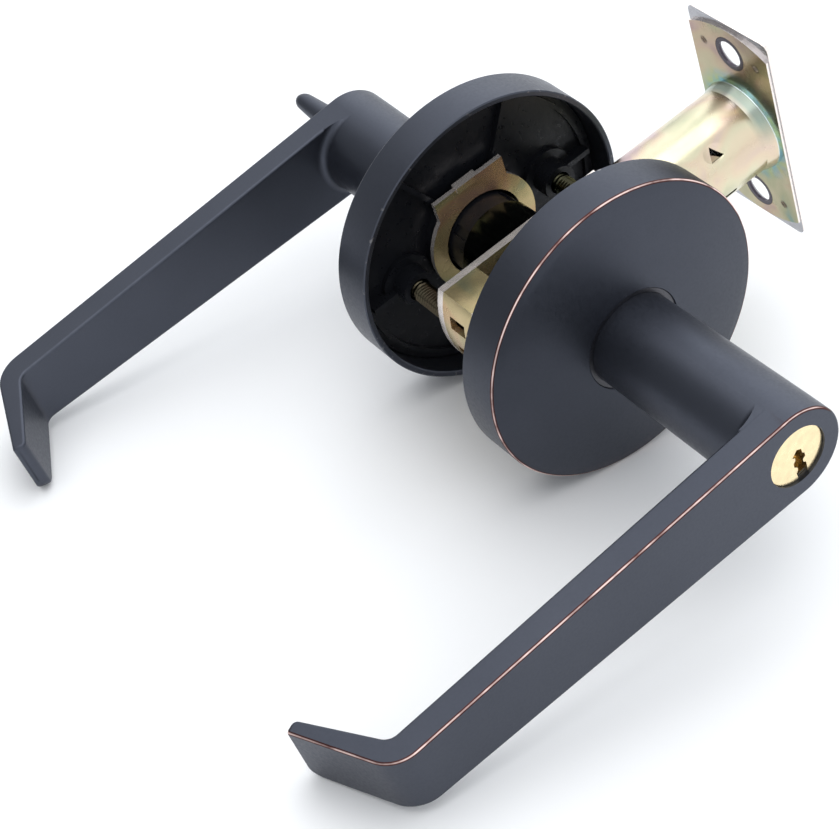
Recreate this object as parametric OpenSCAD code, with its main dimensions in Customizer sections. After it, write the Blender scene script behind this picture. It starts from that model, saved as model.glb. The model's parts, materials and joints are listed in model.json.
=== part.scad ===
// Lever handle lockset with a key cylinder outside and a thumb turn inside.
// The spindles turn about Y: the outside lever is towards -Y, the inside lever towards +Y.
// +X points at the latch faceplate on the door's edge and +Z is up. The origin is where
// the spindle axis crosses the latch axis.

/* [Door] */
// Gap between the two roses, which is the door's thickness
door_gap = 35; // [35:0.5:45]
// How far the middle of that gap lies towards the inside lever
gap_offset = 1.5; // [0:0.1:2]
// Spindle axis to the outer face of the latch faceplate
backset = 60.3; // [60.3, 69.85]

/* [Roses] */
// Outside diameter of each rose
rose_d = 70.6; // [66:0.2:76]
// Depth of each rose at its edge
rose_depth = 10; // [10:0.5:13]
// How far the middle of the rounded face stands out beyond that edge
rose_dome = 3.5; // [1:0.1:4]

/* [Levers] */
// Diameter of the round neck of each lever, where it meets the arm
neck_d = 22.4; // [22.4:0.1:24]
// Front edge of the outside rose to the front of its lever
outside_reach = 52.6; // [50:0.2:60]
// Front edge of the inside rose to the front of its lever
inside_reach = 46.7; // [46:0.2:56]
// Spindle axis to the corner where the arm bends back to the door
bend_x = 101; // [85:0.5:115]
// Length of the bent end, from that corner to its tip
return_len = 25.4; // [16:0.2:26]
// Thickness of the arm
arm_t = 6.3; // [6:0.1:8]
// Width of the arm at its tip
tip_w = 15.4; // [12:0.2:18]
// Angle by which the levers hang below level on their springs
droop = 1.9; // [0:0.1:3]

/* [Latch] */
// Length of the faceplate
plate_l = 57.15; // [54:0.05:60]
// Width of the faceplate
plate_w = 25.4; // [25.4:0.1:28.6]
// Distance between the two screw holes
screw_pitch = 41.3; // [40:0.1:42]
// Diameter of the latch tube
tube_d = 21.6; // [21.6:0.1:22.4]
// How far the latch bolt stands out
throw = 11.5; // [9:0.1:11.5]

/* [Key cylinder] */
// Diameter of the visible face of the plug
plug_face_d = 14; // [13.6:0.1:14]
// Number of pin stacks
pin_stacks = 5; // [3:1:6]

/* [Hidden] */
$fn = 96;

eps = 0.01;
run_gap = 0.05;
outside_rim = door_gap / 2 - gap_offset;
inside_rim = door_gap / 2 + gap_offset;
outside_face = outside_rim + rose_depth + outside_reach;
inside_face = inside_rim + rose_depth + inside_reach;

// Roses and mounting plates
rose_r = rose_d / 2;
rose_wall = 1.4;
rose_front_t = 1.6;
rose_edge = 0.5;
dome_r = ((rose_r - rose_edge) * (rose_r - rose_edge) + rose_dome * rose_dome) / (2 * rose_dome);
neck_r = neck_d / 2;
neck_end_r = neck_r - 0.4;
neck_straight = 4.5;
bush_t = 1.05;
neck_hole_r = neck_end_r + run_gap + bush_t;
neck_rise = rose_dome - dome_r + sqrt(dome_r * dome_r - neck_hole_r * neck_hole_r);
plate_from_rim = 6.6;
mount_plate_t = 1.6;
post_x = 20.64;
post_r = 4.2;
post_root_r = 6.4;
bolt_r = 2.5;
bolt_head_r = 4.4;

// Housing
housing_r = 24.6;
housing_flat_z = 10.6;
housing_wall = 1.4;
housing_inner_y = 5;
housing_outer_y = 6.8;
hub_r = 10;

// Spindles
spindle_r = 8.2;
spindle_wall = 1.2;
spindle_wall_y = 4.95;
cam_r = 4.9;
cam_bore_r = 3.6;
cam_y = 0.3;
cam_flat_x = -2.5;
spindle_stop = 34;
bar_half_t = 0.6;
bar_half_w = 2.3;

// Lever shape
return_angle = 67.6;
outer_bend_r = 8;
inner_bend_r = 3.2;
inner_angle = 61.4;
tip_t = 3.1;
tip_corner_r = 3.2;
neck_fillet_r = 2;
lever_front_t = 1.4;
cylinder_r = 8.6;
bible_w = 6.6;
bible_z = 9.9;
cylinder_len = 30;
turn_stem_r = 3.9;

// Latch
face_x = backset;
face_t = 0.8;
backing_t = 0.7;
backing_x = face_x - face_t - backing_t;
tube_r = tube_d / 2;
tube_wall = 1.2;
tube_from_x = housing_r + 0.4;
flare_r = 11.6;
arch_r = 26;
arch_inset = 1.2;
dimple_r = 8;
dimple_depth = 0.5;
flare_len = 3.4;
bolt_half_y = 6.2;
bolt_half_z = 7;
bolt_rear_x = face_x - 14.3;
arm_in_z = 3.4;
arm_out_z = 4.6;
tail_half_y = 1.6;
plunger_y = [6.45, 8.4];
plunger_half_z = 4;
screw_hole_r = 3.3;
sink_r = 4.5;
stake_y = 8.3;

// Retractor
jaw_x = 15.2;
retractor_end_x = 19.2;
retractor_back_x = -8;
retractor_half_y = 4.5;
retractor_half_z = 8.9;
window_half_z = 5.6;
lip_z = 7.6;

// ---------- helpers ----------

// Places what is drawn for the inside of the door on the outside
module outside() mirror([0, 1, 0]) children();

// Round rod of radius r along Y from y0 to y1
module rod_y(r, y0, y1) translate([0, y0, 0]) rotate([-90, 0, 0]) cylinder(r = r, h = y1 - y0);

// Round rod of radius r along X from x0 to x1
module rod_x(r, x0, x1) translate([x0, 0, 0]) rotate([0, 90, 0]) cylinder(r = r, h = x1 - x0);

// Tube along Y
module tube_y(r_out, r_in, y0, y1) difference() {
    rod_y(r_out, y0, y1);
    rod_y(r_in, y0 - 1, y1 + 1);
}

// Turns a profile of (radius, y) about the Y axis
module turn_y() rotate([-90, 0, 0]) rotate_extrude() children();

// Turns a profile of (radius, x) about the X axis
module turn_x() rotate([0, 90, 0]) rotate_extrude() children();

// Extrudes a shape drawn in (x, z) from y0 to y1
module slab_y(y0, y1) translate([0, y1, 0]) rotate([90, 0, 0]) linear_extrude(y1 - y0) children();

// Extrudes a shape drawn in (y, z) from x0 to x1
module slab_x(x0, x1) translate([x0, 0, 0]) rotate([90, 0, 90]) linear_extrude(x1 - x0) children();

// Box from its lowest to its highest corner
module span(low, high) translate(low) cube(high - low);

// Both places of the through bolts
module at_posts() for (side = [-1, 1]) translate([side * post_x, 0, 0]) children();

// Rectangle with round corners, centred
module round_rect(w, h, r) {
    square([w - 2 * r, h], center = true);
    square([w, h - 2 * r], center = true);
    for (sx = [-1, 1], sy = [-1, 1])
        translate([sx * (w / 2 - r), sy * (h / 2 - r)]) circle(r);
}

// One point of the coil of a spring along Z: ring i, side j
function coil_point(r, pitch, wire, steps, sides, i, j) =
    let (
        a = 360 * i / steps,
        b = 360 * j / sides,
        rise = atan2(pitch, 2 * PI * r),
        out = [cos(a), sin(a), 0],
        up = [sin(a) * sin(rise), -cos(a) * sin(rise), cos(rise)]
    )
    r * out + [0, 0, pitch * i / steps] + wire * (cos(b) * out + sin(b) * up);

// Helical spring along Z from z = 0, of mean radius r and wire radius wire
module coil(r, length, turns, wire, steps = 10, sides = 6) {
    rings = turns * steps;
    pitch = (length - 2 * wire) / turns;
    points = [
        for (i = [0:rings], j = [0:sides - 1])
            coil_point(r, pitch, wire, steps, sides, i, j) + [0, 0, wire]
    ];
    walls = [
        for (i = [0:rings - 1], j = [0:sides - 1], half = [0, 1])
            let (a = i * sides + j, b = i * sides + (j + 1) % sides)
            half == 0 ? [a, b, b + sides] : [a, b + sides, a + sides]
    ];
    caps = [
        for (j = [1:sides - 2], end = [0, 1])
            end == 0 ? [0, j + 1, j] : [rings * sides, rings * sides + j, rings * sides + j + 1]
    ];
    polyhedron(points, concat(walls, caps), convexity = 10);
}

// ---------- roses and what holds them ----------

// Round cover with a thin wall, a chamfered front edge and a slightly domed face
module rose(rim) {
    front = rim + rose_depth;
    crown = front + rose_dome;
    turn_y() difference() {
        intersection() {
            polygon([
                [neck_hole_r, rim], [rose_r, rim], [rose_r, front - rose_edge],
                [rose_r - rose_edge - rose_dome, crown], [neck_hole_r, crown]
            ]);
            translate([0, crown - dome_r]) circle(dome_r);
        }
        intersection() {
            translate([0, rim - 1]) square([rose_r - rose_wall, crown - rim]);
            translate([0, crown - rose_front_t - dome_r]) circle(dome_r);
        }
    }
}

// Plain bearing ring between a rose and the lever's neck
module neck_bush(rim) {
    front = rim + rose_depth + neck_rise;
    tube_y(neck_hole_r - eps, neck_end_r + run_gap, front - rose_front_t, front - 0.3);
}

// Cast plate inside a rose: two posts for the through bolts, ribs and stiffening rings.
// The posts reach from the plate to post_end, and the holes are bored to radius bore_r.
module mounting_plate(rim, post_end, bore_r, bore_from) {
    back = rim + plate_from_rim;
    difference() {
        union() {
            rod_y(rose_r - rose_wall - 0.2, back, back + mount_plate_t);
            tube_y(14, 12.3, rim + 4.3, back);
            tube_y(32, 31, back - 1, back);
            at_posts() {
                rod_y(post_r, post_end, back);
                rod_y(post_root_r, back - 1.2, back);
            }
            for (side = [0, 180]) rotate([0, side, 0])
                span([post_x + post_r - 0.5, back - 3, -0.7], [31.5, back, 0.7]);
            for (turn = [60, 120, 240, 300]) rotate([0, turn, 0])
                span([14, back - 1.6, -0.6], [31.5, back, 0.6]);
        }
        rod_y(12.3, rim, back + mount_plate_t + 1);
        at_posts() rod_y(bore_r, post_end - 1, bore_from);
    }
}

module outside_rose() color("#33363f") outside() rose(outside_rim);
module inside_rose() color("#33363f") rose(inside_rim);
module outside_neck_bush() color("#8f8f8a") outside() neck_bush(outside_rim);
module inside_neck_bush() color("#8f8f8a") neck_bush(inside_rim);

module outside_mounting_plate() color("#1f2126") outside()
    mounting_plate(outside_rim, housing_outer_y + 1.2, bolt_r + run_gap, outside_rim + 5);

module inside_mounting_plate() color("#1f2126") {
    head_seat = inside_rim + plate_from_rim + 0.2;
    difference() {
        mounting_plate(inside_rim, inside_rim + 1, bolt_r + 0.2, inside_rim + 12);
        at_posts() rod_y(bolt_head_r + 0.2, head_seat, head_seat + 5);
    }
}

// Two screws that pull the plates together through the door
module through_bolts() color("#d9c98f") {
    seat = inside_rim + plate_from_rim + 0.2;
    at_posts() difference() {
        union() {
            rod_y(bolt_r, -outside_rim - 4, seat);
            rod_y(bolt_head_r, seat, seat + 1.3);
        }
        for (turn = [0, 90]) rotate([0, turn, 0])
            span([-2.4, seat + 0.6, -0.45], [2.4, seat + 2, 0.45]);
    }
}

// ---------- lever return springs ----------

// Flat plated ring with a square tab on top and a small bent lug on the tab
module spring_cage(rim) {
    slab_y(rim + 3.1, rim + 4.3) difference() {
        union() {
            circle(14.3);
            translate([-9.6, 0]) square([19.2, 15.8]);
        }
        circle(10.4);
    }
    span([-3.6, rim + 2.2, 15.2], [2.4, rim + 4.3, 16.8]);
}

// Collar that turns with the spindle inside the return spring
module spring_hub(rim) difference() {
    tube_y(9.6, spindle_r + 0.02, rim - 1.6, rim + 8);
    for (turn = [45:90:315]) rotate([0, turn, 0])
        span([9, rim - 2, -1.2], [10, rim + 3, 1.2]);
}

// Torsion spring round the collar, behind the cage
module return_spring(rim) translate([0, rim + 4.5, 0]) rotate([-90, 0, 0])
    coil(11, 3.5, 2, 0.6, 24, 8);

module outside_spring_cage() color("#e3d7a0") outside() spring_cage(outside_rim);
module inside_spring_cage() color("#e3d7a0") spring_cage(inside_rim);
module outside_spring_hub() color("#24262b") outside() spring_hub(outside_rim);
module inside_spring_hub() color("#24262b") spring_hub(inside_rim);
module outside_return_spring() color("#4a4c50") outside() return_spring(outside_rim);
module inside_return_spring() color("#4a4c50") return_spring(inside_rim);

// ---------- housing in the door ----------

// Outline of the housing: a round disc with flat top and bottom
module housing_outline(inset = 0) intersection() {
    circle(housing_r - inset);
    square([2 * housing_r, 2 * (housing_flat_z - inset)], center = true);
}

// End plate with the spindle hole and the two bolt holes
module housing_plate() slab_y(housing_inner_y, housing_outer_y) difference() {
    intersection() {
        housing_outline();
        translate([-30, -20]) square([54, 40]);
    }
    circle(spindle_r + run_gap);
    for (side = [-1, 1]) translate([side * post_x, 0]) circle(bolt_r + 0.3);
}

// Sleeve that carries a spindle out to the rose
module hub(rim) tube_y(hub_r, spindle_r + run_gap, housing_outer_y, rim - 2);

module housing_outside_plate() color("#dccf98") outside() housing_plate();
module housing_inside_plate() color("#dccf98") {
    housing_plate();
    for (side = [-1, 1]) translate([0, 0, side * (housing_flat_z - 0.7)])
        span([13, -housing_inner_y, -0.7], [21.5, housing_inner_y, 0.7]);
}
module outside_hub() color("#6f705f") outside() hub(outside_rim);
module inside_hub() color("#6f705f") hub(inside_rim);

// Wall round the back of the housing, with a window on each side of the middle
module housing_shell() color("#e8dcae") difference() {
    slab_y(-housing_inner_y, housing_inner_y) intersection() {
        difference() {
            housing_outline();
            housing_outline(housing_wall);
        }
        translate([-30, -20]) square([17, 40]);
    }
    for (side = [-1, 1])
        translate([-housing_r, 0, side * 4.4]) cube([8, 5, 3.4], center = true);
}

// ---------- retractor ----------

module retractor() color("#c9bd86") difference() {
    span(
        [retractor_back_x, -retractor_half_y, -retractor_half_z],
        [retractor_end_x, retractor_half_y, retractor_half_z]
    );
    // Window for the cams, open towards the latch, with a lug left for the inside cam
    span([-cam_r - 0.4, -10, -window_half_z], [30, 0.1, window_half_z]);
    span([cam_flat_x - 0.1, 0, -window_half_z], [30, 10, window_half_z]);
    // Pockets for the hooks of the latch tail
    span([jaw_x, -10, -lip_z - 0.2], [jaw_x + 2, 10, lip_z + 0.2]);
    // Channels for the two springs
    for (side = [-1, 1]) translate([0, 0, side * 7.3])
        span([retractor_back_x - 1, -1.6, -2], [12, 1.6, 2]);
    // Room for the through bolt when the retractor is drawn back
    span([retractor_back_x - 1, -10, -bolt_r - 0.4], [retractor_back_x + 1.7, 10, bolt_r + 0.4]);
}

module retractor_springs() color("#b9bbbd")
    for (side = [-1, 1]) translate([-21.1, 0, side * 7.3]) rotate([0, 90, 0])
        coil(1.1, 33, 14, 0.28, 8, 5);

// ---------- spindles ----------

// Tube that joins a lever to its cam in the housing
module spindle(face) difference() {
    union() {
        rod_y(spindle_r, spindle_wall_y, face - spindle_stop);
        difference() {
            rod_y(cam_r, cam_y, spindle_wall_y + 1);
            span([-10, cam_y - 1, -10], [cam_flat_x, spindle_wall_y, 10]);
        }
    }
    rod_y(cam_bore_r, -1, 20);
    rod_y(spindle_r - spindle_wall, spindle_wall_y + 1.2, face);
    span([-1.6, face - 42.5, 5], [1.6, face - 34.8, 10]);
}

// Spring catch in the spindle that locks the lever on
module lever_catch(face) {
    span([-1.5, face - 42.4, 5.6], [1.5, face - 35.2, 9.5]);
    span([-1.5, face - 54, 5.6], [1.5, face - 42.4, 6.3]);
}

module outside_spindle() color("#7d7f82") outside() spindle(outside_face);
module inside_spindle() color("#7d7f82") spindle(inside_face);
module outside_lever_catch() color("#aeb0b3") outside() lever_catch(outside_face);
module inside_lever_catch() color("#aeb0b3") lever_catch(inside_face);

// ---------- levers ----------

// Points of an arc about (cx, cy) from angle a0 to a1
function arc(cx, cy, r, a0, a1, steps = 8) =
    [for (i = [0:steps]) let (a = a0 + (a1 - a0) * i / steps) [cx + r * cos(a), cy + r * sin(a)]];

// The arm from above: straight, then bent back to the door and thinner to its tip
module arm_plan(face) {
    outer_run = outer_bend_r * tan(return_angle / 2);
    inner_run = inner_bend_r * tan(inner_angle / 2);
    outer_heading = [-cos(return_angle), -sin(return_angle)];
    inner_heading = [-cos(inner_angle), -sin(inner_angle)];
    outer_corner = [-bend_x, face];
    tip = outer_corner + return_len * outer_heading;
    inner_tip = tip + tip_t * [sin(return_angle), -cos(return_angle)];
    back_y = face - arm_t;
    inner_x = inner_tip[0] - inner_heading[0] * (inner_tip[1] - back_y) / inner_heading[1];
    polygon(concat(
        [[neck_r + 1, face]],
        arc(-bend_x + outer_run, face - outer_bend_r, outer_bend_r, 90, 90 + return_angle),
        [tip, inner_tip],
        arc(inner_x + inner_run, back_y - inner_bend_r, inner_bend_r, 90 + inner_angle, 90, 6),
        [[neck_r + 1, back_y]]
    ));
}

// The arm from the front: a round head, and sides that run together to the tip
module arm_front() {
    reach = bend_x + return_len * cos(return_angle) + 1;
    half_tip = tip_w / 2;
    taper = asin(neck_r / sqrt(reach * reach + half_tip * half_tip)) - atan(half_tip / reach);
    touch = [-neck_r * sin(taper), neck_r * cos(taper)];
    circle(neck_r);
    difference() {
        polygon([touch, [-reach, half_tip], [-reach, -half_tip], [touch[0], -touch[1]], [0, 0]]);
        translate([-reach + 0.99, -half_tip - eps]) difference() {
            translate([-1, -1]) square([tip_corner_r + 1, tip_corner_r + 1]);
            translate([tip_corner_r, tip_corner_r]) circle(tip_corner_r);
        }
    }
}

// Solid lever: slightly tapered round neck, arm and the hollow fillet behind the arm
module lever_solid(face, neck_from) rotate([0, -droop, 0]) {
    back = face - arm_t;
    taper_from = neck_from + neck_straight;
    rod_y(neck_end_r, neck_from, taper_from + eps);
    translate([0, taper_from, 0]) rotate([-90, 0, 0])
        cylinder(r1 = neck_end_r, r2 = neck_r, h = back - taper_from);
    intersection() {
        translate([0, 0, -20]) linear_extrude(40) arm_plan(face);
        slab_y(face - 40, face) arm_front();
    }
    intersection() {
        turn_y() difference() {
            translate([neck_r - 2, back - neck_fillet_r]) square([neck_fillet_r + 2, neck_fillet_r]);
            translate([neck_r + neck_fillet_r, back - neck_fillet_r]) circle(neck_fillet_r);
        }
        slab_y(back - neck_fillet_r, back) difference() {
            arm_front();
            translate([5, -20]) square([30, 40]);
        }
    }
}

module catch_pocket(face) span([-1.6, face - 42.5, 7], [1.6, face - 35, 9.7]);

module outside_lever() color("#30333c") outside() difference() {
    lever_solid(outside_face, outside_rim + rose_depth - 1.4);
    rod_y(spindle_r + run_gap, 0, outside_face - spindle_stop + 1);
    rod_y(cylinder_r + run_gap, outside_face - cylinder_len - 3, outside_face - lever_front_t);
    span(
        [-bible_w / 2 - run_gap, outside_face - cylinder_len - 3, -bible_z - run_gap],
        [bible_w / 2 + run_gap, outside_face - lever_front_t, 0]
    );
    rod_y(plug_face_d / 2 + 0.1, outside_face - 5, outside_face + 1);
    catch_pocket(outside_face);
}

module inside_lever() color("#30333c") difference() {
    lever_solid(inside_face, inside_rim + rose_depth - 1.4);
    rod_y(spindle_r + run_gap, 0, inside_face - spindle_stop + 1);
    rod_y(turn_stem_r + 0.7, 0, inside_face - 6);
    rod_y(turn_stem_r + run_gap, 0, inside_face + 1);
    catch_pocket(inside_face);
}

// ---------- key cylinder ----------

plug_r = 6.35;
plug_recess = 0.6;
pin_r = 1.4;
pin_step = 4;
first_pin = 7;
shear_z = 6.15;
module at_pins() for (i = [0:pin_stacks - 1])
    translate([0, outside_face - first_pin - pin_step * i, 0]) children();

module cylinder_body() color("#cdb267") outside() {
    back = outside_face - cylinder_len - lever_front_t;
    front = outside_face - lever_front_t - run_gap;
    difference() {
        union() {
            rod_y(cylinder_r, back, front);
            span([-bible_w / 2, back, -bible_z], [bible_w / 2, front, 0]);
        }
        rod_y(plug_r + run_gap, back - 1, front + 1);
        at_pins() translate([0, 0, -9.6]) cylinder(r = pin_r + run_gap, h = 6);
    }
}

// Keyway: a stepped slot from the middle of the plug to its lower edge
module keyway() polygon([
    [0.4, 1.2], [1.5, 0.6], [1.6, -0.7], [2.1, -1.1], [2.1, -2.1], [1.4, -2.5], [1.4, -3.4],
    [2, -3.8], [2, -8], [-0.5, -8], [-0.8, -5], [-0.3, -4.4], [-0.3, -3.6], [-1, -3],
    [-1, -1.8], [-0.4, -1.3], [-0.4, -0.6], [-1, -0.2]
]);

module cylinder_plug() color("#e0bd6d") outside() {
    back = outside_face - cylinder_len - lever_front_t;
    difference() {
        union() {
            rod_y(plug_r, back, outside_face - lever_front_t + eps);
            rod_y(plug_face_d / 2, outside_face - lever_front_t, outside_face - plug_recess);
            rod_y(4, back - 1.6, back + eps);
        }
        slab_y(back + 2, outside_face + 1) keyway();
        at_pins() translate([0, 0, -9]) cylinder(r = pin_r + run_gap, h = 8.2);
    }
}

// Pins that ride in the plug, standing at its edge as a key would hold them
module key_pins() color("#d8b25e") outside() at_pins() {
    translate([0, 0, -shear_z]) cylinder(r = pin_r, h = 2.6);
    translate([0, 0, -shear_z + 2.6]) cylinder(r1 = pin_r, r2 = 0.5, h = 1);
}

module driver_pins() color("#b9bbbd") outside() at_pins()
    translate([0, 0, -8]) cylinder(r = pin_r, h = 1.4);

module driver_springs() color("#a5a7aa") outside() at_pins()
    translate([0, 0, -9.55]) coil(0.9, 1.5, 2, 0.16, 8, 5);

module plug_clip() color("#aeb0b3") outside() {
    back = outside_face - cylinder_len - lever_front_t;
    difference() {
        tube_y(6.2, 4 + eps, back - 0.7, back - 0.1);
        span([-1.5, back - 2, 2], [1.5, back + 1, 8]);
    }
}

module tailpiece() color("#9fa1a4") outside()
    span(
        [-bar_half_t, 0.4, -bar_half_w],
        [bar_half_t, outside_face - cylinder_len - lever_front_t - 1.6, bar_half_w]
    );

// ---------- thumb turn ----------

module thumb_turn() color("#30333c") {
    rod_y(turn_stem_r, inside_face - 9, inside_face + 0.6);
    intersection() {
        translate([0, 0, -5]) linear_extrude(10) turn_outline(3.6, 2);
        rotate([0, 90, 0]) translate([0, 0, -5]) linear_extrude(10) turn_outline(3.1, 1.6);
        turn_y() intersection() {
            turn_outline(3.85, 2.1);
            translate([0, inside_face]) square([10, 30]);
        }
    }
}

// Outline of the thumb turn along Y: half width w0 at the lever and w1 at its round tip
module turn_outline(w0, w1) {
    base = inside_face + 0.1;
    tip = inside_face + 21;
    polygon([[-w0, base], [w0, base], [w1, tip - w1], [-w1, tip - w1]]);
    translate([0, tip - w1]) circle(w1);
}

module locking_bar() color("#9fa1a4")
    span([-bar_half_t, 0.4, -bar_half_w], [bar_half_t, inside_face - 9, bar_half_w]);

// ---------- latch ----------

module screw_holes(r) for (side = [-1, 1]) translate([0, side * screw_pitch / 2]) circle(r);

// Mouth of the plates for the bolt and the plunger beside it
module bolt_mouth() translate([-bolt_half_y - 0.1, 0]) {
    mouth = plunger_y[0] - 0.1 + bolt_half_y + 0.1;
    translate([0, -bolt_half_z - 0.1]) square([mouth, 2 * bolt_half_z + 0.2]);
    translate([mouth - eps, -plunger_half_z - 0.1])
        square([plunger_y[1] - plunger_y[0] + 0.2, 2 * plunger_half_z + 0.2]);
}

// Front plate with the metal round each screw hole pressed back through the backing plate
module latch_faceplate() color("#d4d5d8") difference() {
    union() {
        slab_x(face_x - face_t, face_x) round_rect(plate_w, plate_l, 2);
        slab_x(backing_x, face_x - face_t + eps) screw_holes(screw_hole_r + 1);
    }
    slab_x(backing_x - 1, face_x + 1) {
        screw_holes(screw_hole_r);
        bolt_mouth();
    }
    for (side = [-1, 1]) translate([face_x - 0.9, 0, side * screw_pitch / 2]) rotate([0, 90, 0])
        cylinder(r1 = screw_hole_r - eps, r2 = sink_r, h = 0.9 + eps);
}

// Backing plate with arched ends and four staking dents
module latch_backing_plate() color("#e6d8a2") difference() {
    slab_x(backing_x, face_x - face_t) difference() {
        intersection() {
            round_rect(plate_w - 0.6, plate_l - 2 * arch_inset, 3.4);
            hull() for (side = [-1, 1])
                translate([0, side * (plate_l / 2 - arch_inset - arch_r)]) circle(arch_r);
        }
        screw_holes(screw_hole_r + 1.1);
        bolt_mouth();
    }
    for (y = [-stake_y, stake_y], z = [-screw_pitch / 2, screw_pitch / 2])
        translate([backing_x, y, z]) rotate([45, 0, 0]) cube([0.8, 1.5, 1.5], center = true);
}

// Tube with a flared mouth, two pierced crimps in round dimples, a seam slit and notches at its rear end
module latch_tube() color("#e6d8a2") {
    flare_x = backing_x - flare_len;
    difference() {
        turn_x() polygon([
            [tube_r, tube_from_x], [tube_r, flare_x], [flare_r, backing_x - 0.5],
            [flare_r, backing_x], [tube_r - tube_wall, backing_x],
            [tube_r - tube_wall, tube_from_x]
        ]);
        for (turn = [48, 228]) rotate([turn, 0, 0]) {
            translate([0, 0, tube_r - 3]) linear_extrude(6)
                polygon([[43.7, 1.7], [45.7, -1.5], [42.1, -1.6]]);
            translate([43.8, 0, tube_r + dimple_r - dimple_depth]) sphere(dimple_r);
        }
        rotate([116, 0, 0]) span([30, -0.6, 8], [46.3, 0.6, 14]);
        for (side = [-1, 1]) translate([tube_from_x, 0, side * tube_r])
            cube([8, 5, 6], center = true);
    }
}

// Plate inside the tube that the bolt spring pushes on, slotted for the tail
module latch_end_cap() color("#bfb27e") difference() {
    rod_x(tube_r - tube_wall - run_gap, tube_from_x + 4.4, tube_from_x + 6);
    span([0, -tail_half_y - 0.2, -arm_out_z - 0.3], [60, tail_half_y + 0.2, arm_out_z + 0.3]);
}

// Spring bolt with its slope towards the outside of the door
module latch_bolt() color("#c7c8ca") difference() {
    intersection() {
        translate([0, 0, -bolt_half_z]) linear_extrude(2 * bolt_half_z) polygon([
            [bolt_rear_x, -bolt_half_y], [face_x + 0.9, -bolt_half_y],
            [face_x + throw, bolt_half_y - 1.6], [face_x + throw, bolt_half_y],
            [bolt_rear_x, bolt_half_y]
        ]);
        rod_x(tube_r - tube_wall - 0.2, bolt_rear_x, face_x + throw + 1);
    }
    span(
        [bolt_rear_x - 1, -tail_half_y - run_gap, -arm_out_z - run_gap],
        [bolt_rear_x + 2.2, tail_half_y + run_gap, arm_out_z + run_gap]
    );
}

// Flat pull bar, forked round the through bolt, with a hook on each prong
module latch_tail() color("#b4b6b8") {
    span([36, -tail_half_y, -arm_out_z], [bolt_rear_x + 2, tail_half_y, arm_out_z]);
    for (side = [0, 180]) rotate([side, 0, 0]) {
        span([jaw_x + 0.2, -tail_half_y, arm_in_z], [36 + eps, tail_half_y, arm_out_z]);
        span([jaw_x + 0.2, -tail_half_y, arm_in_z], [jaw_x + 1.8, tail_half_y, lip_z]);
    }
}

module bolt_spring() color("#a5a7aa")
    translate([tube_from_x + 6.1, 0, 0]) rotate([0, 90, 0])
        coil(5.5, bolt_rear_x - tube_from_x - 6.3, 5, 0.35, 14, 6);

// Plunger on the flat side of the bolt, stepped at its nose
module deadlatch_plunger() color("#c7c8ca")
    span(
        [bolt_rear_x + 2, plunger_y[0], -plunger_half_z],
        [face_x + throw - 2, plunger_y[1], plunger_half_z]
    );

module plunger_spring() color("#a5a7aa")
    translate([tube_from_x + 6.1, (plunger_y[0] + plunger_y[1]) / 2 + 0.1, 0]) rotate([0, 90, 0])
        coil(0.7, bolt_rear_x + 1.9 - tube_from_x - 6.2, 9, 0.2, 8, 5);

outside_rose();
inside_rose();
outside_neck_bush();
inside_neck_bush();
outside_mounting_plate();
inside_mounting_plate();
through_bolts();
outside_spring_cage();
inside_spring_cage();
outside_return_spring();
inside_return_spring();
outside_spring_hub();
inside_spring_hub();
outside_hub();
inside_hub();
housing_outside_plate();
housing_inside_plate();
housing_shell();
retractor();
retractor_springs();
outside_spindle();
inside_spindle();
outside_lever();
inside_lever();
outside_lever_catch();
inside_lever_catch();
cylinder_body();
cylinder_plug();
key_pins();
driver_pins();
driver_springs();
plug_clip();
tailpiece();
thumb_turn();
locking_bar();
latch_faceplate();
latch_backing_plate();
latch_tube();
latch_end_cap();
latch_bolt();
latch_tail();
bolt_spring();
deadlatch_plunger();
plunger_spring();
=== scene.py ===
import json
import math

import bmesh
import bpy
from mathutils import Matrix, Vector


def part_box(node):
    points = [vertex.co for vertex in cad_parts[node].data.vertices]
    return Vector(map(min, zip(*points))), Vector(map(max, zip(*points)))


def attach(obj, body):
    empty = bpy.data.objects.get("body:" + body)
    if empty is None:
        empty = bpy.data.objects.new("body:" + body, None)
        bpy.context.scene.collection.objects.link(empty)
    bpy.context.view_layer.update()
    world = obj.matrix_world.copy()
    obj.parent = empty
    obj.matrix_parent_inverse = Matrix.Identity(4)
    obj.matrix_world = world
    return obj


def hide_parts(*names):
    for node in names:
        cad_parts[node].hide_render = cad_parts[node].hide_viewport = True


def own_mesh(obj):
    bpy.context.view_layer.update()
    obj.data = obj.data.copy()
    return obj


# The lever handle lockset's looks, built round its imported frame: +X to the latch faceplate,
# +Y to the inside lever, -Y to the outside lever, +Z up, in metres.

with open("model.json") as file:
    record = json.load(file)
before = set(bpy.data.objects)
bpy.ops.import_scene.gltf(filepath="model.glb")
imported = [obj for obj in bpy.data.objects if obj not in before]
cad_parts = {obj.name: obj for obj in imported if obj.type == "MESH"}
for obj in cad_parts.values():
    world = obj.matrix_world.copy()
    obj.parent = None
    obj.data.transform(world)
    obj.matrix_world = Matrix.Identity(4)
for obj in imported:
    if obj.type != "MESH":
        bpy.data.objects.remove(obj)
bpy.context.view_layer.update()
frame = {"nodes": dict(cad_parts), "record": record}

MM = 0.001
QUARTER = math.pi / 2
SIDES = {"outside": -1, "inside": 1}

# How far a cut runs on past the surface that it opens
PAST = 1 * MM

# Latch plates: height of both screws, and how far the stakes stand from the middle
SCREW_Z = 20.65 * MM
STAKE_Y = 8.3 * MM

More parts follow.
